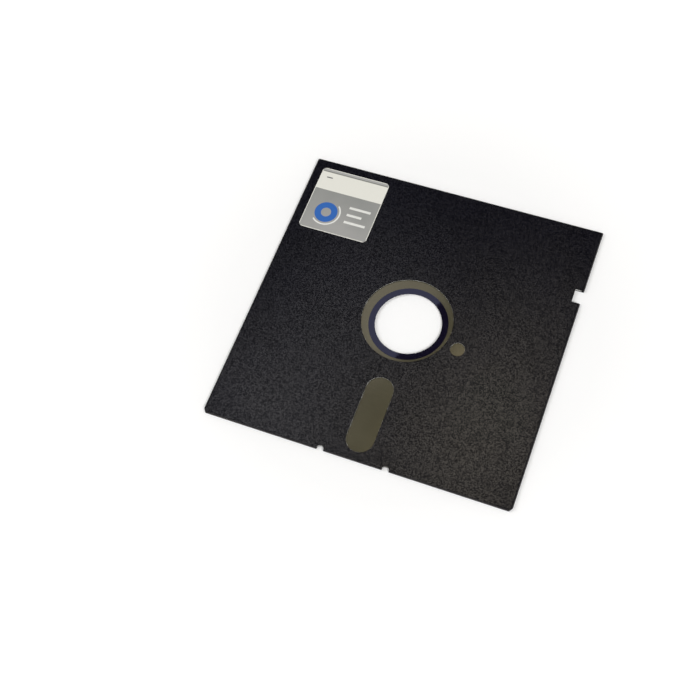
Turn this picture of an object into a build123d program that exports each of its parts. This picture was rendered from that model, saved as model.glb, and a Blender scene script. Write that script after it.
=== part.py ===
from build123d import *
import math
import os

# A 130 mm flexible disk cartridge. All sizes are in millimetres.
# The cartridge lies flat with its label up (+Z) and its head window towards -Y.
# The origin is the middle of the square jacket, on the surface that it rests on.

# Magnetic disc and the ring that stiffens its hole
disc_diameter = 130.2
disc_thickness = 0.08
hub_hole_diameter = 28.575
hub_ring_width = 2.7
hub_ring_thickness = 0.13
index_hole_diameter = 2.54
index_hole_angle = 205

# Room for the disc inside the jacket, and where the disc has slid to
disc_play = 1.3
disc_face_gap = 0.11
disc_gap_right = 0.35
disc_gap_front = 0.1

# Jacket sheet, its liner and its folds
sheet_thickness = 0.25
liner_thickness = 0.2
liner_fold_margin = 0.5
lap_gap = 0.05
lower_edge_clearance = 0.07
flap_width = 11
flap_front_taper = 5.5
mitre_gap = 0.2
mitre_relief = 1.4
corner_cut_side = 2
corner_cut_front = 1.4

# Heat-seal spots that hold the flaps down
seal_spot_diameter = 2.2
seal_spot_depth = 0.12
seal_spot_taper = 40
seal_spots_per_flap = 7
seal_spot_margin = 10

# Windows through the jacket
hub_window_margin = 1.4
index_window_margin = 0.6
index_window_angle = -14.7
index_web = 2.5
head_window_width = 12
head_window_hub_web = 8.6
head_window_edge_web = 3.75

# Notches in the jacket's edges
relief_notch_radius = 1.55
relief_notch_depth = 1.9
relief_notch_web = 8.1
write_notch_length = 6.35
write_notch_depth = 3.8
write_notch_from_front = 96.5

# Label
label_width = 32
label_length = 32.3
label_thickness = 0.1
label_corner_radius = 1.8
label_side_inset = 4.35
label_back_inset = 4.15

# Heights of the layers, from the flaps' underside up
lower_panel_bottom = sheet_thickness + lap_gap
lower_liner_bottom = lower_panel_bottom + sheet_thickness
disc_bottom = lower_liner_bottom + liner_thickness + disc_face_gap
hub_ring_bottom = disc_bottom + disc_thickness
upper_liner_bottom = hub_ring_bottom + disc_face_gap
upper_panel_bottom = upper_liner_bottom + liner_thickness
upper_panel_top = upper_panel_bottom + sheet_thickness

# The jacket's outline and the lines where its folds begin
jacket_half = disc_diameter / 2 + disc_play + sheet_thickness
flap_fold_outer = upper_panel_top / 2
flap_fold_inner = flap_fold_outer - sheet_thickness
flap_fold_line = jacket_half - flap_fold_outer
front_fold_outer = (upper_panel_top - lower_panel_bottom) / 2
front_fold_line = jacket_half - front_fold_outer
flap_free_edge = jacket_half - flap_width

# The lower panel's free edges stand just inside the hollow of the flaps' folds.
fold_hollow = math.sqrt(flap_fold_inner**2 - (flap_fold_outer - lower_panel_bottom) ** 2)
lower_panel_edge = flap_fold_line + fold_hollow - lower_edge_clearance

# Radii and places of the windows
hub_hole_radius = hub_hole_diameter / 2
hub_ring_radius = hub_hole_radius + hub_ring_width
hub_window_radius = hub_ring_radius + disc_play + hub_window_margin
index_window_radius = index_hole_diameter / 2 + disc_play + index_window_margin
index_circle_radius = hub_window_radius + index_web + index_window_radius
head_window_back = hub_window_radius + head_window_hub_web
head_window_front = jacket_half - head_window_edge_web
relief_notch_offset = head_window_width / 2 + relief_notch_web
write_notch_middle = write_notch_from_front + write_notch_length / 2 - jacket_half

# The disc lies against the right and front folds, as far as its play lets it.
disc_x = disc_play - disc_gap_right
disc_y = disc_gap_front - disc_play

os.makedirs("parts", exist_ok=True)


def panel_outline(left, right, front, back):
    """A rectangle given by its four sides."""
    with Locations(((left + right) / 2, (front + back) / 2)):
        Rectangle(right - left, back - front)


def punched_windows():
    """Every window and notch that is punched through jacket and liner together."""
    Circle(hub_window_radius)
    with PolarLocations(index_circle_radius, 1, start_angle=index_window_angle):
        Circle(index_window_radius)
    with Locations((0, -(head_window_back + head_window_front) / 2)):
        SlotOverall(head_window_front - head_window_back, head_window_width, rotation=90)
    with Locations((0, relief_notch_depth - relief_notch_radius - jacket_half)):
        with GridLocations(2 * relief_notch_offset, 0, 2, 1):
            Circle(relief_notch_radius)
    with Locations((jacket_half, write_notch_middle)):
        Rectangle(2 * write_notch_depth, write_notch_length)


def seal_spots(diameter):
    """One row of round spots down the middle of each flap."""
    row = jacket_half - flap_width / 2
    pitch = 2 * (row - seal_spot_margin) / (seal_spots_per_flap - 1)
    with GridLocations(2 * row, pitch, 2, seal_spots_per_flap):
        Circle(diameter / 2)
    with Locations((0, row)):
        with GridLocations(pitch, 0, seal_spots_per_flap, 1):
            Circle(diameter / 2)


def flap_section():
    """The sheet's middle line from the flap's free edge, round the fold, to the upper panel."""
    with BuildLine() as middle:
        Line((flap_free_edge, sheet_thickness / 2), (flap_fold_line, sheet_thickness / 2))
        CenterArc(
            (flap_fold_line, flap_fold_outer),
            flap_fold_outer - sheet_thickness / 2,
            -90,
            180,
        )
    trace(middle.edges(), line_width=sheet_thickness)


# Side flap: the right one, with its round fold. The left one is its mirror image.
with BuildPart() as side_flap:
    with BuildSketch(Plane.XZ):
        flap_section()
    extrude(amount=jacket_half, both=True)
    with BuildSketch():
        with BuildLine():
            Polyline(
                (flap_free_edge, flap_front_taper - jacket_half),
                (flap_fold_line, -jacket_half),
                (jacket_half, -jacket_half),
                (jacket_half, jacket_half - mitre_gap),
                (flap_fold_line, flap_fold_line - mitre_gap),
                (flap_free_edge, flap_free_edge - mitre_gap - mitre_relief),
                close=True,
            )
        make_face()
    extrude(amount=upper_panel_top, mode=Mode.INTERSECT)

# Back flap: folded over last, behind the label edge.
with BuildPart() as back_flap:
    with BuildSketch(Plane.YZ):
        flap_section()
    extrude(amount=jacket_half, both=True)
    with BuildSketch():
        with BuildLine():
            Polyline(
                (0, flap_free_edge),
                (flap_free_edge - mitre_gap - mitre_relief, flap_free_edge),
                (flap_fold_line - mitre_gap, flap_fold_line),
                (jacket_half - mitre_gap, jacket_half),
                (0, jacket_half),
                close=True,
            )
        make_face()
        mirror(about=Plane.YZ)
    extrude(amount=upper_panel_top, mode=Mode.INTERSECT)

# Jacket: one sheet, folded in half at its front edge, with three flaps sealed onto the lower panel.
with BuildPart() as jacket:
    with BuildSketch(Plane.XY.offset(upper_panel_bottom)):
        panel_outline(-flap_fold_line, flap_fold_line, -front_fold_line, flap_fold_line)
    extrude(amount=sheet_thickness)
    with BuildSketch(Plane.XY.offset(lower_panel_bottom)):
        panel_outline(-lower_panel_edge, lower_panel_edge, -front_fold_line, lower_panel_edge)
    extrude(amount=sheet_thickness)
    with BuildSketch(Plane.YZ):
        with BuildLine():
            CenterArc(
                (-front_fold_line, lower_panel_bottom + front_fold_outer),
                front_fold_outer - sheet_thickness / 2,
                90,
                180,
            )
        trace(line_width=sheet_thickness)
    extrude(amount=flap_fold_line, both=True)
    add(side_flap.part)
    add(mirror(side_flap.part, about=Plane.YZ, mode=Mode.PRIVATE))
    add(back_flap.part)

    # The front corners are cut off at a slant, clear of the folds.
    with BuildSketch():
        with BuildLine():
            Polyline(
                (jacket_half, corner_cut_side - jacket_half),
                (jacket_half, -jacket_half),
                (jacket_half - corner_cut_front, -jacket_half),
                close=True,
            )
        make_face()
        mirror(about=Plane.YZ)
    extrude(amount=upper_panel_top, mode=Mode.SUBTRACT)

    # Each seal spot joins flap and lower panel, and leaves a dimple in the flap.
    with BuildSketch(Plane.XY.offset(sheet_thickness)):
        seal_spots(seal_spot_diameter)
    extrude(amount=lap_gap)
    with BuildSketch():
        seal_spots(seal_spot_diameter)
    extrude(amount=seal_spot_depth, taper=seal_spot_taper, mode=Mode.SUBTRACT)

    with BuildSketch():
        punched_windows()
    extrude(amount=upper_panel_top, mode=Mode.SUBTRACT)

# Liners: a wiping fabric bonded to the inner face of each panel and punched with it.
liner_edge = flap_fold_line - liner_fold_margin
liner_front_edge = front_fold_line - liner_fold_margin

with BuildPart() as lower_liner:
    with BuildSketch(Plane.XY.offset(lower_liner_bottom)):
        panel_outline(-liner_edge, liner_edge, -liner_front_edge, liner_edge)
        with BuildSketch(mode=Mode.SUBTRACT):
            punched_windows()
    extrude(amount=liner_thickness)

with BuildPart() as upper_liner:
    with BuildSketch(Plane.XY.offset(upper_liner_bottom)):
        panel_outline(-liner_edge, liner_edge, -liner_front_edge, liner_edge)
        with BuildSketch(mode=Mode.SUBTRACT):
            punched_windows()
    extrude(amount=liner_thickness)

# Magnetic disc: coated film with the spindle hole and one small index hole.
with BuildPart() as magnetic_disc:
    with BuildSketch(Plane(origin=(disc_x, disc_y, disc_bottom))):
        Circle(disc_diameter / 2)
        Circle(hub_hole_radius, mode=Mode.SUBTRACT)
        with PolarLocations(index_circle_radius, 1, start_angle=index_hole_angle):
            Circle(index_hole_diameter / 2, mode=Mode.SUBTRACT)
    extrude(amount=disc_thickness)

# Hub ring: a film ring stuck round the spindle hole, on the label side.
with BuildPart() as hub_ring:
    with BuildSketch(Plane(origin=(disc_x, disc_y, hub_ring_bottom))):
        Circle(hub_ring_radius)
        Circle(hub_hole_radius, mode=Mode.SUBTRACT)
    extrude(amount=hub_ring_thickness)

# Label: a square of paper in the back left corner of the upper panel.
with BuildPart() as label:
    label_x = label_side_inset + label_width / 2 - jacket_half
    label_y = jacket_half - label_back_inset - label_length / 2
    with BuildSketch(Plane(origin=(label_x, label_y, upper_panel_top))):
        RectangleRounded(label_width, label_length, label_corner_radius)
    extrude(amount=label_thickness)

jacket.part.label = "jacket"
export_step(jacket.part, "parts/jacket.step")
lower_liner.part.label = "lower_liner"
export_step(lower_liner.part, "parts/lower_liner.step")
upper_liner.part.label = "upper_liner"
export_step(upper_liner.part, "parts/upper_liner.step")
magnetic_disc.part.label = "magnetic_disc"
export_step(magnetic_disc.part, "parts/magnetic_disc.step")
hub_ring.part.label = "hub_ring"
export_step(hub_ring.part, "parts/hub_ring.step")
label.part.label = "label"
export_step(label.part, "parts/label.step")
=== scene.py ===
# %% [markdown]
# # A floppy disk, dressed in Blender
#
# This lesson takes the measured model of a 130 mm flexible disk cartridge and gives it the looks
# of the real thing: matt vinyl, brown recording film, a dark stiffening ring, felt-like liners and
# a printed paper label. The measured model is the frame. It is loaded first and never moved.

# %% Load the measured model
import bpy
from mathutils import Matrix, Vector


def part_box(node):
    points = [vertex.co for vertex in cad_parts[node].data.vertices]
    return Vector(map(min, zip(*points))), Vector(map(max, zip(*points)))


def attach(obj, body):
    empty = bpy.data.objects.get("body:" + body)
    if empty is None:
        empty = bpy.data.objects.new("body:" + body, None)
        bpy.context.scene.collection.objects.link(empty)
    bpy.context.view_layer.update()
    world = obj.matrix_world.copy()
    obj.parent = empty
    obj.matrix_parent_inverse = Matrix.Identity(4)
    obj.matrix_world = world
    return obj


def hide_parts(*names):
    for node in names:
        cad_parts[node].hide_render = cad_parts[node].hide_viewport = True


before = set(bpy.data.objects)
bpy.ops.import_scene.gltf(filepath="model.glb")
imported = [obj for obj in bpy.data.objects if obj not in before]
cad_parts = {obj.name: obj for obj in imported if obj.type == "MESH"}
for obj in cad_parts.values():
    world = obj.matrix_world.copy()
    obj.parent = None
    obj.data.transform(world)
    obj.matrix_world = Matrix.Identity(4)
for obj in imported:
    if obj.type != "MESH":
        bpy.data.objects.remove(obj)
print(len(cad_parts), "measured pieces are loaded")

# %% [markdown]
# ## What the frame holds
#
# Every later place is worked out from the boxes of the frame's nodes, in metres. One millimetre
# gets a name, because most sizes on this object are a few millimetres.

# %% Read the nodes' boxes
import math
import random

import bpy
from mathutils import Quaternion, Vector
from mathutils.noise import noise as noise_at

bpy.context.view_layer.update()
mm = 0.001
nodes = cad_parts
jacket_low, jacket_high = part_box("jacket")
label_low, label_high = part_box("label")
disc_low, disc_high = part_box("magnetic_disc")
disc_centre = (disc_low + disc_high) / 2
print("nodes:", sorted(nodes))
print("jacket:", [round(v / mm, 2) for v in jacket_high - jacket_low], "mm")

# %% [markdown]
# ## The camera
#
# The photograph was taken from above the lower right corner, with the camera turned a little
# about its own axis, so that the jacket's front edge runs downhill to the right. The place, the
# point aimed at, the turn and the lens come from the four edges of the jacket, which is a square
# of known size. Aiming with a track quaternion and turning about the view axis keeps the three
# facts apart, where one matrix of nine numbers would say nothing to a reader.

# %% Place the camera
camera_place = Vector((0.0933, -0.2068, 0.4349))
camera_aim = Vector((-0.0185, -0.0202, 0.0))
camera_turn = math.radians(-11.37)
camera_lens = 59.24
nearest_seen = 0.01

bpy.ops.object.select_all(action="DESELECT")
bpy.ops.object.camera_add(location=camera_place)
camera = bpy.context.object
camera.name = "camera"
camera.rotation_mode = "QUATERNION"
aim_turn = (camera_aim - camera_place).to_track_quat("-Z", "Y")
camera.rotation_quaternion = aim_turn @ Quaternion((0, 0, 1), camera_turn)
camera.data.lens = camera_lens
camera.data.clip_start = nearest_seen
bpy.context.scene.camera = camera
bpy.context.scene.view_settings.view_transform = "Standard"
print("camera", round((camera_aim - camera_place).length, 3), "m from the point aimed at")

# %% [markdown]
# ## Shader maths as plain Python
#
# A pattern in a material is arithmetic on numbers that change over the surface. Wiring Math nodes
# by hand hides that arithmetic, so one small class wraps a node's output socket and lets Python's
# own operators add the nodes: `1 - mask` or `grain * 0.4 + 0.3` read as they are meant. Any other
# node comes from its `node` method, which sets the node's settings first and then its sockets.

# %% A socket that can be used in sums
class Wire:
    """A node's output. Operators on it add Math nodes to the same material."""

    def __init__(self, tree, socket=None):
        self.tree = tree
        self.socket = socket

    def node(self, kind, settings=None, inputs=None, output=0):
        """Adds any node and returns a wire from one of its outputs."""
        made = self.tree.nodes.new(kind)
        for name, value in (settings or {}).items():
            setattr(made, name, value)
        for name, value in (inputs or {}).items():
            if isinstance(value, Wire):
                self.tree.links.new(value.socket, made.inputs[name])
            else:
                made.inputs[name].default_value = value
        return Wire(self.tree, made.outputs[output])

    def maths(self, operation, *others):
        """A Math node with this wire on its first socket."""
        values = dict(enumerate((self, *others)))
        return self.node("ShaderNodeMath", {"operation": operation}, values)

    def reflected(self, operation, first):
        """A Math node with a number on its first socket and this wire on its second."""
        return self.node("ShaderNodeMath", {"operation": operation}, {0: first, 1: self})

    def __add__(self, other):
        return self.maths("ADD", other)

    __radd__ = __add__

    def __mul__(self, other):
        return self.maths("MULTIPLY", other)

    __rmul__ = __mul__

    def __sub__(self, other):
        return self.maths("SUBTRACT", other)

    def __rsub__(self, other):
        return self.reflected("SUBTRACT", other)

    def __truediv__(self, other):
        return self.maths("DIVIDE", other)

    def __rtruediv__(self, other):
        return self.reflected("DIVIDE", other)

    def __gt__(self, other):
        return self.maths("GREATER_THAN", other)

    def __lt__(self, other):
        """Python's reflected form of >: it turns 5 > wire into wire < 5."""
        return self.maths("LESS_THAN", other)

    def __abs__(self):
        return self.maths("ABSOLUTE")


print("sums with wires: + - * / > and abs")

# %% [markdown]
# ## Colours as the eye sees them
#
# A colour is easiest to choose on a screen, where each of its three parts runs from 0 to 255. A
# shader counts light instead, so every colour is changed once, by the curve that all screens use.
# Shader numbers could be typed in directly, but nobody can picture 0.0021.

# %% Screen colours
def linear(red, green, blue):
    """A screen colour of 0 to 255 as the linear colour that shaders use."""
    def channel(value):
        share = value / 255
        return share / 12.92 if share < 0.04045 else ((share + 0.055) / 1.055) ** 2.4
    return (channel(red), channel(green), channel(blue), 1)


print("a screen's middle grey is", round(linear(128, 128, 128)[0], 3), "in a shader")

# %% [markdown]
# ## Patterns in millimetres
#
# Every pattern is measured in millimetres on the object itself. Object coordinates stay with the
# surface when the disc turns, so the pattern turns too, and a grain of 0.4 mm stays 0.4 mm.
# Picture coordinates from an unwrapped surface would do the same, but they would have to be laid
# out for each piece, and this object is flat and plain enough to go without.

# %% Start a material and find places on it
def start_material(name):
    """A new material: returns it, its Principled shader and a wire to start sums from."""
    material = bpy.data.materials.new(name)
    material.use_nodes = True
    shader = material.node_tree.nodes["Principled BSDF"]
    return material, shader, Wire(material.node_tree)


def millimetres(start):
    """Object coordinates, as millimetres."""
    place = start.node("ShaderNodeTexCoord", output="Object")
    return start.node("ShaderNodeVectorMath", {"operation": "SCALE"}, {"Vector": place, "Scale": 1000})


def axes(start, point):
    """The three numbers of a place, as three wires."""
    split = start.node("ShaderNodeSeparateXYZ", inputs={"Vector": point})
    outputs = split.socket.node.outputs
    return [Wire(start.tree, outputs[axis]) for axis in ("X", "Y", "Z")]


print("patterns are measured from the middle of the jacket, in millimetres")

# %% [markdown]
# ## Noise, ranges and two colours
#
# Nearly every finish here is noise, cut to a range, that chooses between two colours. A Mix node
# mixes them, because a Math node would turn a colour grey. Its sockets share their names between
# numbers, vectors and colours, so they are given by their place in the node's list. Noise gathers
# round one half, so the range that is kept, called a cut from here on, lies near it. A narrow cut
# gives hard specks, and a wide one gives soft clouds.

# %% Noise, ranges and mixed colours
mix_factor, mix_first_colour, mix_second_colour = 0, 6, 7
mix_colour_output = 2


def noise(start, point, grains_per_mm, detail=2.0):
    """Cloudy noise from 0 to 1, with about so many grains to a millimetre."""
    values = {"Vector": point, "Scale": grains_per_mm, "Detail": detail}
    return start.node("ShaderNodeTexNoise", inputs=values, output="Fac")


def between(value, low, high):
    """0 below low, 1 above high, and a straight line in between."""
    inputs = {"Value": value, "From Min": low, "From Max": high}
    return value.node("ShaderNodeMapRange", {"clamp": True}, inputs)


def mix(factor, first, second):
    """A colour that is first where factor is 0 and second where it is 1."""
    inputs = {mix_factor: factor, mix_first_colour: first, mix_second_colour: second}
    return factor.node("ShaderNodeMix", {"data_type": "RGBA"}, inputs, mix_colour_output)


print("helpers for patterns ready")

# %% [markdown]
# ## From patterns to a finish
#
# A finish ends at the sockets of one Principled shader. What changes over the surface is linked
# to it. What is the same all over is typed on the shader's own socket, further on, because a link
# would only make it slower to read and harder to export.

# %% Connect a finish and put it on a piece
def bump(height, distance_mm, strength=1.0):
    """A Bump node's normal from a height of 0 to 1 that stands for so many millimetres."""
    inputs = {"Height": height, "Distance": distance_mm * mm, "Strength": strength}
    return height.node("ShaderNodeBump", inputs=inputs, output="Normal")


def connect(shader, **wires):
    """Links wires to the shader's sockets, named with _ for a space."""
    for name, wire in wires.items():
        wire.tree.links.new(wire.socket, shader.inputs[name.replace("_", " ")])


def dress(target, material):
    """Gives a whole object one material."""
    target.data.materials.clear()
    target.data.materials.append(material)


print("helpers for finishes ready")

# %% [markdown]
# ## The jacket: calendered vinyl
#
# The jacket is black PVC sheet about 0.25 mm thick, rolled between textured cylinders. They press
# a grain of less than half a millimetre into it, smooth on its peaks and dull in its hollows. The
# sheet itself is nearly as black as ink, and almost all that the eye sees of it is the sheen of
# what it mirrors. So the base stays nearly black, and the grain drives the weight of a clear coat
# over it. A grain of light and dark colours would be simpler, but it would look grey from all
# sides. Two marks are still painted into the base: a blue tint that stands for cool light in the
# shade, and peaks a little lighter than the hollows, as painted glints.
#
# The grain could be an image, but noise is sharper and never repeats. Large soft clouds vary the
# black a little, one slow wave stands for the sheet's waviness over the disc inside, and the last
# half millimetre before each edge is greyer: partly worn, because folding stretched the sheet
# there, and partly a painted highlight that lightens the folds and the sides.

# %% Vinyl
vinyl_grains_per_mm = 2.4
vinyl_clouds_per_mm = 0.045
vinyl_waves_per_mm = 0.018
vinyl_grain_depth = 0.1
peak_cut = (0.4, 0.65)
cloud_cut = (0.35, 0.65)
# Both blacks carry a painted blue tint that stands for cool light in the shade. The lighter one, on
# the peaks, is a painted glint.
hollow_black_with_painted_cool_shade = linear(2, 2, 8)
peak_black_with_painted_glint = linear(13, 13, 25)
# Grey on the folds: partly wear and partly a painted highlight that lightens the folds and sides.
worn_and_painted_highlight_grey = linear(54, 52, 51)
jacket_edge = jacket_high.x / mm
fold_grey_begins = 0.7
fold_grey_is_full = 0.2
least_wear_and_highlight = 0.6
coat_in_hollows = 0.2
coat_added_on_peaks = 0.7


def vinyl():
    """Black vinyl: painted cool shade and glints, folds grey from wear and painted highlight."""
    material, shader, start = start_material("black_vinyl")
    point = millimetres(start)
    grain = noise(start, point, vinyl_grains_per_mm, detail=0)
    peaks = between(grain, *peak_cut)
    clouds = between(noise(start, point, vinyl_clouds_per_mm, detail=3), *cloud_cut)
    # Painted glints: the peaks are a little lighter in colour than the hollows.
    black_with_painted_glints = mix(peaks * 0.8 + clouds * 0.2, hollow_black_with_painted_cool_shade, peak_black_with_painted_glint)
    x, y, _ = axes(start, point)
    from_middle = abs(x).maths("MAXIMUM", abs(y))
    fold = between(from_middle, jacket_edge - fold_grey_begins, jacket_edge - fold_grey_is_full)
    # The folds turn grey, as wear and as a painted highlight.
    wear_and_painted_highlight = fold * (least_wear_and_highlight + clouds * (1 - least_wear_and_highlight))
    connect(shader, Base_Color=mix(wear_and_painted_highlight, black_with_painted_glints, worn_and_painted_highlight_grey))
    connect(shader, Coat_Weight=coat_in_hollows + peaks * coat_added_on_peaks)
    sheet_wave = noise(start, point, vinyl_waves_per_mm, detail=1)
    connect(shader, Normal=bump(grain + sheet_wave * 0.5, vinyl_grain_depth))
    shader.inputs["Roughness"].default_value = 0.6
    shader.inputs["Specular IOR Level"].default_value = 0
    shader.inputs["Coat Roughness"].default_value = 0.26
    return material


dress(nodes["jacket"], vinyl())
print("jacket dressed in", nodes["jacket"].data.materials[0].name)

# %% [markdown]
# ## The liners: bonded fibre
#
# A white non-woven fabric is bonded to the inner face of each panel, to wipe dust off the disc.
# Little of it shows: its cut edge, as a pale broken line round every window and in the notches.
# Real fibres by the thousand would be too many faces for so thin a line. Noise that is stretched
# along three directions and added up looks like fibres pressed flat, and its low places are the
# small dark voids between them.

# %% Non-woven fabric
fibre_directions = (0.5, 1.7, 2.6)
fibre_stretch = (6, 0.8, 6)
felt_depth = 0.08
lint_cut = (0.44, 0.57)
share_of_each_layer = 0.333
void_grey = linear(104, 104, 101)
fibre_white = linear(240, 240, 235)


def fibre_fabric():
    """White felt made of three layers of stretched noise."""
    material, shader, start = start_material("liner_fabric")
    point = millimetres(start)
    strands = []
    for turn in fibre_directions:
        inputs = {"Vector": point, "Rotation": (0, 0, turn), "Scale": fibre_stretch}
        strands.append(noise(start, start.node("ShaderNodeMapping", inputs=inputs), 1.0, detail=2))
    felt = (strands[0] + strands[1] + strands[2]) * share_of_each_layer
    lint = between(felt, *lint_cut)
    connect(shader, Base_Color=mix(lint, void_grey, fibre_white))
    connect(shader, Roughness=0.95 - lint * 0.1)
    connect(shader, Normal=bump(felt, felt_depth))
    return material


liner_material = fibre_fabric()
dress(nodes["upper_liner"], liner_material)
dress(nodes["lower_liner"], liner_material)
print("liners dressed in", liner_material.name)

# %% [markdown]
# ## The disc: oxide on film
#
# The disc is clear film with a brown iron oxide coating, buffed until it shines a little. The
# coating is even, so the eye reads it by its sheen: long faint streaks that follow the tracks
# round the hub. The streaks change the roughness, a real sheen, and are also painted into the
# colour as a painted sheen, over a slow random haze. Rings drawn one by one would look like a
# gramophone record. Instead the noise gets three numbers, the distance from the hub and the two
# parts of the direction from it. It changes fast with the first and slowly with the others, so it
# turns into streaks round the hub that turn with the disc. The angle alone would do in place of
# the direction, but it jumps from 180 to -180 degrees, and the streaks would break there along a
# seam.

# %% Recording film
tracks_per_mm = 3
film_haze_per_mm = 0.06
film_waves_per_mm = 0.035
film_wave_depth = 0.05
film_wave_strength = 0.4
buffed_roughness = 0.09
roughness_added_by_tracks = 0.065
tone_cut = (0.35, 0.65)
oxide_dark = linear(59, 57, 43)
oxide_light = linear(67, 65, 50)
oxide_mirror_tint = (0.92, 0.82, 0.65, 1)


def oxide_film():
    """Brown film streaked round the hub: a real sheen in roughness, a painted one in colour."""
    material, shader, start = start_material("oxide_film")
    point = millimetres(start)
    centre = tuple(v / mm for v in disc_centre)
    from_hub = start.node("ShaderNodeVectorMath", {"operation": "SUBTRACT"}, {0: point, 1: centre})
    x, y, _ = axes(start, from_hub)
    distance = (x * x + y * y).maths("SQRT")
    heading = {"X": distance * tracks_per_mm, "Y": x / distance, "Z": y / distance}
    tracks = noise(start, start.node("ShaderNodeCombineXYZ", inputs=heading), 1.0, detail=3)
    haze = noise(start, point, film_haze_per_mm, detail=2)
    # Painted sheen: the track streaks lighten and darken the colour, mixed with a slow random haze.
    painted_sheen_and_haze = between(tracks * 0.4 + haze * 0.6, *tone_cut)
    connect(shader, Base_Color=mix(painted_sheen_and_haze, oxide_dark, oxide_light))
    connect(shader, Roughness=buffed_roughness + tracks * roughness_added_by_tracks)
    film_wave = noise(start, point, film_waves_per_mm, detail=1)
    ripples = film_wave * 4 + tracks * 0.05
    connect(shader, Normal=bump(ripples, film_wave_depth, film_wave_strength))
    shader.inputs["IOR"].default_value = 1.8
    shader.inputs["Specular Tint"].default_value = oxide_mirror_tint
    return material


dress(nodes["magnetic_disc"], oxide_film())
print("disc dressed in", nodes["magnetic_disc"].data.materials[0].name)

# %% [markdown]
# ## The hub ring: dark film
#
# A thin ring of dark blue film is stuck round the spindle hole, where the drive's cone grips. It
# is smoother than everything round it, so it acts as a mirror: where an overhead panel is seen in
# it, it is pale blue, and past that panel's edge it is nearly black. Two shades of paint would
# look right from one side only. The blue is in the tint of the mirror, specks of dust dull it
# here and there, and its glue leaves a faint ripple.

# %% Stiffening film
glue_ripples_per_mm = 0.12
glue_ripple_depth = 0.03
glue_ripple_strength = 0.25
dust_specks_per_mm = 2.5
dust_cut = (0.58, 0.7)
clean_roughness = 0.025
roughness_added_by_dust = 0.15
indigo_dark = linear(13, 9, 24)
indigo_light = linear(26, 24, 44)
indigo_mirror_tint = (0.58, 0.62, 1.0, 1)


def ring_film():
    """Smooth indigo film with a little dust and a rippled glue line."""
    material, shader, start = start_material("indigo_film")
    point = millimetres(start)
    ripple = noise(start, point, glue_ripples_per_mm, detail=2)
    dust = between(noise(start, point, dust_specks_per_mm, detail=3), *dust_cut)
    connect(shader, Base_Color=mix(dust * 0.4 + ripple * 0.3, indigo_dark, indigo_light))
    connect(shader, Roughness=clean_roughness + dust * roughness_added_by_dust)
    connect(shader, Normal=bump(ripple, glue_ripple_depth, glue_ripple_strength))
    shader.inputs["IOR"].default_value = 1.55
    shader.inputs["Specular Tint"].default_value = indigo_mirror_tint
    return material


dress(nodes["hub_ring"], ring_film())
print("ring dressed in", nodes["hub_ring"].data.materials[0].name)

# %% [markdown]
# ## The label
#
# The label is a square of coated paper with rounded corners. A cube as large as the frame's label
# is the start. Its four upright edges are bevelled into the round corners, and then the top rim
# gets a fine bevel, because cut paper has no razor edge. Bevelling in edit mode keeps the round
# corners exact circles, where a hand-made outline would need many points.

# %% Pick edges by their place
def select_edges(chosen):
    """In edit mode, selects only the edges for which chosen(first point, second point) holds."""
    bpy.ops.mesh.select_mode(type="EDGE")
    bpy.ops.mesh.select_all(action="DESELECT")
    bpy.ops.object.mode_set(mode="OBJECT")
    mesh = bpy.context.object.data
    for edge in mesh.edges:
        first, second = (mesh.vertices[index].co for index in edge.vertices)
        edge.select = chosen(first, second)
    bpy.ops.object.mode_set(mode="EDIT")


print("edges are picked by where their two ends lie")

# %% Model the label
label_corner = 1.8 * mm
corner_steps = 10
paper_rim = 0.02 * mm
rim_steps = 2

bpy.ops.object.select_all(action="DESELECT")
bpy.ops.mesh.primitive_cube_add(
    size=1, location=(label_low + label_high) / 2, scale=label_high - label_low
)
label_sheet = bpy.context.object
label_sheet.name = "label_sheet"
bpy.ops.object.transform_apply(location=True, rotation=True, scale=True)
bpy.ops.object.mode_set(mode="EDIT")
select_edges(lambda a, b: abs(a.z - b.z) > paper_rim)
bpy.ops.mesh.bevel(offset=label_corner, segments=corner_steps)
top = label_high.z - paper_rim
select_edges(lambda a, b: a.z > top and b.z > top)
bpy.ops.mesh.bevel(offset=paper_rim, segments=rim_steps)
bpy.ops.object.mode_set(mode="OBJECT")
print("label:", len(label_sheet.data.polygons), "faces")

# %% [markdown]
# ## Shapes to print
#
# A printed shape is a mask, a number that is 1 inside the shape and 0 outside. It is made from
# the distance to the label's own corner, so that the print keeps its place and its real size, and
# it stays sharp however close the camera comes. A picture file would blur.

# %% Masks for printed shapes
ink_edge = 0.03


def inside(value, low, high):
    """1 where a value in millimetres lies between two others, with a soft edge of ink."""
    above = between(value, low - ink_edge, low + ink_edge)
    return above * (1 - between(value, high - ink_edge, high + ink_edge))


def bar(across, down, left, top, width, height):
    """A printed bar, by its upper left corner and its size."""
    return inside(across, left, left + width) * inside(down, top, top + height)


def ring(across, down, centre, inner, outer):
    """A printed ring, by its middle and its two radii."""
    right_of = across - centre[0]
    below = down - centre[1]
    return inside((right_of * right_of + below * below).maths("SQRT"), inner, outer)


print("ink fades over", 2 * ink_edge, "mm at the edge of a shape")

# %% [markdown]
# ## Printing the label
#
# A printer lays down flat fields of ink: a grey stripe, a blank field to write on and a silver
# field, all inside a hairline of bare paper. The silver field is painted paler towards the
# bottom, as a painted sheen, under slow random clouds. It carries a plain blue ring with a white
# arc round it, and three white lines. One short grey tick stands in the blank field. The layout
# is a list of places and sizes, so that it can be read like a drawing. Each mask then mixes its
# ink over the colour so far, in the order in which a press would print them.

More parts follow.
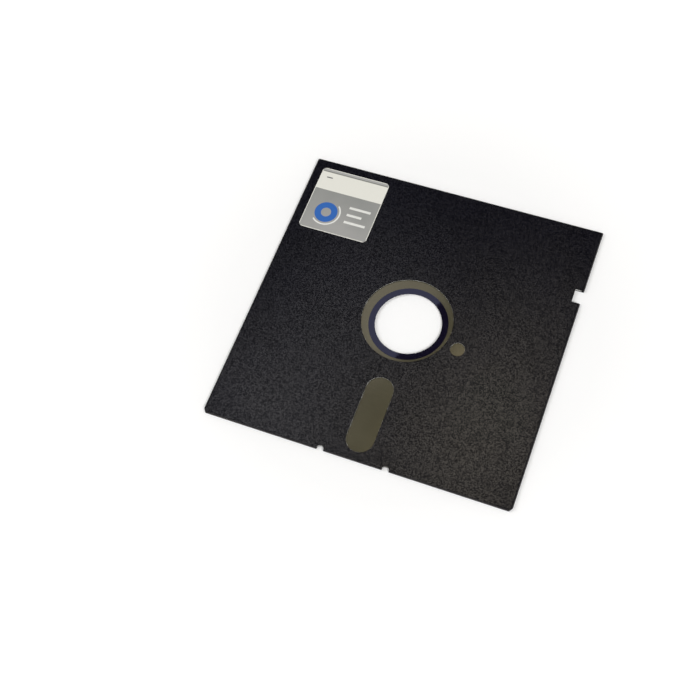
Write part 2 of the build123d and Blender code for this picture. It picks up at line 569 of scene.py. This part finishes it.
# %% The label's layout, in millimetres from its upper left corner
label_width = (label_high.x - label_low.x) / mm
label_length = (label_high.y - label_low.y) / mm
paper_margin = 0.3
stripe_height = 1.9
stripe_darkens = (1.1, 1.5)
blank_height = 9.3
silver_top = stripe_height + blank_height
field_width = label_width - 2 * paper_margin
emblem_centre = (9.6, 22.4)
emblem_ring = (2.3, 5.2)
emblem_arc = (6.0, 6.7)
line_left = 19
line_height = 1.2
line_tops_and_widths = ((16.6, 10), (20.4, 7), (24.2, 10))
tick = (3.2, 4.3, 2.8, 0.55)
print("label:", round(label_width, 2), "x", round(label_length, 2), "mm")

# %% Ink on coated paper
paper_cream = linear(229, 228, 219)
stripe_pale = linear(168, 168, 166)
stripe_dark = linear(128, 129, 124)
silver_dark = linear(145, 147, 144)
silver_pale = linear(170, 169, 167)
ink_blue = linear(38, 98, 178)
ink_white = linear(236, 236, 232)
ink_grey = linear(96, 96, 98)
silver_clouds_per_mm = 0.05
painted_sheen_per_mm = 0.02
silver_cut = (0.5, 1.3)
silver_metal = 0.25
paper_fibres_per_mm = 3
paper_fibre_depth = 0.01


def printed_paper():
    """Coated paper with flat inks. Only the silver is a little metallic, with a painted sheen."""
    material, shader, start = start_material("printed_paper")
    point = millimetres(start)
    x, y, _ = axes(start, point)
    across = x - label_low.x / mm
    down = label_high.y / mm - y

    silver_height = label_length - silver_top - paper_margin
    silver_mask = bar(across, down, paper_margin, silver_top, field_width, silver_height)
    # Painted sheen: the silver turns paler towards the bottom, under slow random clouds.
    sheen = noise(start, point, silver_clouds_per_mm, detail=2) + down * painted_sheen_per_mm
    silver = mix(between(sheen, *silver_cut), silver_dark, silver_pale)
    colour = mix(silver_mask, paper_cream, silver)

    ink_height = stripe_height - paper_margin
    stripe_mask = bar(across, down, paper_margin, paper_margin, field_width, ink_height)
    stripe = mix(between(down, *stripe_darkens), stripe_pale, stripe_dark)
    colour = mix(stripe_mask, colour, stripe)

    blue_mask = ring(across, down, emblem_centre, *emblem_ring)
    colour = mix(blue_mask, colour, ink_blue)
    lower_right = across + down > sum(emblem_centre)
    arc = ring(across, down, emblem_centre, *emblem_arc) * lower_right
    white_mask = arc
    for line_top, line_width in line_tops_and_widths:
        white_mask = white_mask + bar(across, down, line_left, line_top, line_width, line_height)
    colour = mix(white_mask, colour, ink_white)
    colour = mix(bar(across, down, *tick), colour, ink_grey)
    connect(shader, Base_Color=colour)

    paper_grain = noise(start, point, paper_fibres_per_mm, detail=3)
    connect(shader, Roughness=0.5 + paper_grain * 0.1)
    connect(shader, Metallic=silver_mask * (1 - blue_mask) * silver_metal)
    connect(shader, Normal=bump(paper_grain, paper_fibre_depth, 0.5))
    return material


dress(label_sheet, printed_paper())
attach(label_sheet, "jacket")
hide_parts("label")
print("label printed")

# %% [markdown]
# ## Frayed liner edges: one fibre
#
# The punch that cuts the windows tears the liner's fibres, so a few bow out of every cut edge as
# a pale, broken line. They are geometry, because a pattern on a clean edge would stay straight.
# One fibre is a thin rod. It is cut into short parts, and the loops between them are pushed out
# into an arch. A curve with a round section would bend more smoothly, but nobody sees that on a
# fibre 0.04 mm thick, and a rod of four sides can be copied hundreds of times.

# %% Model one fibre
fibre_radius = 0.018 * mm
fibre_length = 1.3 * mm
fibre_bow = 0.12 * mm
fibre_sides = 4
fibre_parts = 4

bpy.ops.object.select_all(action="DESELECT")
bpy.ops.mesh.primitive_cylinder_add(
    vertices=fibre_sides, radius=fibre_radius, depth=fibre_length, rotation=(0, math.pi / 2, 0)
)
fibre = bpy.context.object
fibre.name = "fibre"
bpy.ops.object.transform_apply(location=True, rotation=True, scale=True)
bpy.ops.object.mode_set(mode="EDIT")
select_edges(lambda a, b: abs(a.x - b.x) > fibre_length / 2)
bpy.ops.mesh.subdivide(number_cuts=fibre_parts - 1)
for loop in range(1, fibre_parts):
    share = loop / fibre_parts
    place = (share - 0.5) * fibre_length
    select_edges(lambda a, b: max(abs(a.x - place), abs(b.x - place)) < fibre_radius)
    bpy.ops.transform.translate(value=(0, fibre_bow * math.sin(math.pi * share), 0))
bpy.ops.object.mode_set(mode="OBJECT")
print("fibre:", len(fibre.data.polygons), "faces")

# %% [markdown]
# ## Frayed liner edges: where the punch went
#
# The places come from the liners themselves, so that the fibres still fit when a window moves.
# Each upright face of a liner says where a cut edge runs, and its normal says which way the
# window lies. The liner's own four sides are left out, because they are hidden in the folds. Two
# triangles make up each upright face, so a stretch is kept once, under its two rounded ends.

# %% Find the cut edges of a liner
upright_limit = 0.1
hidden_border = 0.05 * mm


def cut_edges(liner):
    """Lists each stretch of a liner's windows and notches: start, end and outward direction."""
    low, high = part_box(liner)
    found = {}
    mesh = nodes[liner].data
    for face in mesh.polygons:
        if abs(face.normal.z) > upright_limit:
            continue
        points = [mesh.vertices[index].co.xy.copy() for index in face.vertices]
        pairs = [(a, b) for a in points for b in points]
        start, end = max(pairs, key=lambda pair: (pair[0] - pair[1]).length)
        middle = (start + end) / 2
        border = min(middle.x - low.x, high.x - middle.x, middle.y - low.y, high.y - middle.y)
        if border > hidden_border:
            key = tuple(sorted((round(p.x / mm, 2), round(p.y / mm, 2)) for p in (start, end)))
            found[key] = (start, end, face.normal.xy.normalized())
    return [found[key] for key in sorted(found)]


for name in ("upper_liner", "lower_liner"):
    print(name, len(cut_edges(name)), "stretches of cut edge")

# %% [markdown]
# ## Frayed liner edges: copies in clumps
#
# The fibre is copied along the edges, thick in some stretches and thin in others, and each copy
# is turned, bent and sized a little differently. Chance decides, from a fixed start, so that
# every run gives the same fibres. A slow noise along the edge makes the clumps, where chance
# alone would spread the fibres evenly. Particles could scatter the copies too, but then their
# ends would not stay buried in the cloth.

# %% Copy the fibre along the edges
chance = random.Random(7)
fibres_per_mm = 3.2
clump_size = 1.6 * mm
clump_limits = (-0.1, 0.5)
most_lean = 0.5
most_turn = 0.35
length_factors = (0.5, 1.2)
bow_factors = (0.5, 1.7)
buried_depths = (0.02, 0.07)
face_margin = 0.03 * mm


def fray(liner, name):
    """Covers a liner's cut edges with bowed fibres, in clumps, and joins them to one piece."""
    low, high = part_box(liner)
    copies = []
    for start, end, outward in cut_edges(liner):
        stretch = end - start
        for _ in range(int(stretch.length / mm * fibres_per_mm + chance.random())):
            spot = start + stretch * chance.random()
            clump = noise_at(Vector((spot.x, spot.y, low.z)) / clump_size)
            if clump < chance.uniform(*clump_limits):
                continue
            copy = fibre.copy()
            copy.data = fibre.data.copy()
            bpy.context.collection.objects.link(copy)
            along_edge = math.atan2(outward.y, outward.x) - math.pi / 2
            lean = chance.uniform(-most_lean, most_lean)
            copy.rotation_euler = (lean, 0, along_edge + chance.uniform(-most_turn, most_turn))
            copy.scale = (chance.uniform(*length_factors), chance.uniform(*bow_factors), 1)
            buried = outward * chance.uniform(*buried_depths) * mm
            height = chance.uniform(low.z + face_margin, high.z - face_margin)
            copy.location = (spot.x - buried.x, spot.y - buried.y, height)
            copies.append(copy)
    bpy.ops.object.select_all(action="DESELECT")
    for copy in copies:
        copy.select_set(True)
    bpy.context.view_layer.objects.active = copies[0]
    bpy.ops.object.join()
    joined = bpy.context.object
    joined.name = name
    bpy.ops.object.transform_apply(location=True, rotation=True, scale=True)
    dress(joined, liner_material)
    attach(joined, "jacket")
    print(name, len(copies), "fibres", len(joined.data.polygons), "faces")


fray("upper_liner", "upper_fray")
fray("lower_liner", "lower_fray")
bpy.data.objects.remove(fibre)

# %% [markdown]
# ## Floor
#
# The object lies on a plain pale floor, a plane a hair below it, so that the two never fight for
# the same pixels. Lamps strong enough to turn the floor white would wash out the object too, so
# the white is the floor's own: a glow that only the camera and mirrors see. It is faint near the
# object, where the card's own colour takes the shadow, and full farther out, where the floor has
# to meet the walls without a line.

# %% Floor
floor_size = 8
floor_drop = 0.02 * mm
glow_begins = 0.08
glow_is_full = 0.6
glow_near = (0.05, 0.05, 0.05, 1)
glow_far = (1, 1, 1, 1)
no_glow = (0, 0, 0, 1)

bpy.ops.object.select_all(action="DESELECT")
bpy.ops.mesh.primitive_plane_add(size=floor_size, location=(0, 0, -floor_drop))
floor = bpy.context.object
floor.name = "floor"
floor_material, floor_shader, floor_start = start_material("floor_card")
floor_shader.inputs["Base Color"].default_value = linear(248, 248, 248)
floor_shader.inputs["Roughness"].default_value = 0.9
floor_place = floor_start.node("ShaderNodeTexCoord", output="Object")
floor_x, floor_y, _ = axes(floor_start, floor_place)
from_middle = (floor_x * floor_x + floor_y * floor_y).maths("SQRT")
glow = mix(between(from_middle, glow_begins, glow_is_full), glow_near, glow_far)
seen = (floor_start.node("ShaderNodeLightPath", output="Is Camera Ray")
        + floor_start.node("ShaderNodeLightPath", output="Is Glossy Ray")
        + floor_start.node("ShaderNodeLightPath", output="Is Transmission Ray"))
connect(floor_shader, Emission_Color=mix(seen, no_glow, glow))
floor_shader.inputs["Emission Strength"].default_value = 1
dress(floor, floor_material)
print("floor:", floor_size, "m wide,", floor_drop / mm, "mm below the object")

# %% [markdown]
# ## Lamps
#
# Two wide windows, right and left, light the floor, the label and the liners. They stand far off
# to the sides, where the camera never sees them mirrored, so the black vinyl stays black. The
# small panels overhead are there for their reflections. Each hangs where the camera sees it
# mirrored in one part of the object: the warm one in the front right of the jacket, the back one
# at its right edge, the cool one in the front left, and the film one left of the hub, with its
# edge across the hub ring. One large softbox would be quicker, but it would light the whole
# jacket to the same flat grey.

# %% Lamps
def area_lamp(name, place, aim, width, depth, radiance, colour=(1, 1, 1), turn=0):
    """A rectangular lamp at a place, facing a point, as bright as a surface of that radiance."""
    bpy.ops.object.light_add(type="AREA", location=place)
    lamp = bpy.context.object
    lamp.name = name
    lamp.data.shape = "RECTANGLE"
    lamp.data.size = width
    lamp.data.size_y = depth
    lamp.data.energy = radiance * math.pi * width * depth
    lamp.data.color = colour
    lamp.rotation_mode = "QUATERNION"
    towards = (Vector(aim) - Vector(place)).to_track_quat("-Z", "Y")
    lamp.rotation_quaternion = towards @ Quaternion((0, 0, 1), math.radians(turn))
    print(name, "radiance", radiance)


def overhead_panel(name, x, y, height, width, depth, radiance, colour=(1, 1, 1), turn=0):
    """A lamp that hangs level over a point of the floor and faces straight down."""
    area_lamp(name, (x, y, height), (x, y, 0), width, depth, radiance, colour, turn)


object_middle = (0, 0, 0)
window_size = 1.2
area_lamp("right_window", (1.3, -1.1, 1.8), object_middle, window_size, window_size, 9.7)
area_lamp("left_window", (-1.5, -0.6, 1.6), object_middle, window_size, window_size, 4.4)
overhead_panel("warm_panel", -0.06, 0.325, 1.0, 0.165, 0.25, 4.6, (1.0, 0.9, 0.7), -15)
overhead_panel("back_panel", -0.02, 0.53, 1.0, 0.1, 0.1, 3.4, (1.0, 0.95, 0.85))
overhead_panel("cool_panel", -0.35, 0.28, 1.0, 0.15, 0.16, 5.0, (0.98, 0.96, 0.94))
overhead_panel("film_panel", -0.182, 0.3, 0.6, 0.14, 0.15, 1.13, turn=-17)

# %% [markdown]
# ## World
#
# The world is a studio with pale walls and a dark ceiling. The walls fill in the shadows and meet
# the floor in white when the camera looks low. The ceiling is what the vinyl and film mirror from
# above, so it has to be dark. A picture of a real studio would do both, but it would put shapes
# into the reflections that nobody asked for. The walls end and the ceiling begins at a slope, the
# upward part of the direction looked in, which is 0 at the horizon and 1 straight up.

# %% World
wall_light = 1.0
ceiling_light = 0.02
walls_end = 0.1
ceiling_begins = 0.6

world = bpy.context.scene.world or bpy.data.worlds.new("world")
bpy.context.scene.world = world
world.use_nodes = True
sky = Wire(world.node_tree)
_, _, upward = axes(sky, sky.node("ShaderNodeTexCoord", output="Generated"))
ceiling_share = between(upward, walls_end, ceiling_begins)
brightness = wall_light - ceiling_share * (wall_light - ceiling_light)
background = world.node_tree.nodes["Background"]
background.inputs["Color"].default_value = (1, 1, 1, 1)
world.node_tree.links.new(brightness.socket, background.inputs["Strength"])
print("world: from", wall_light, "at the walls to", ceiling_light, "overhead")
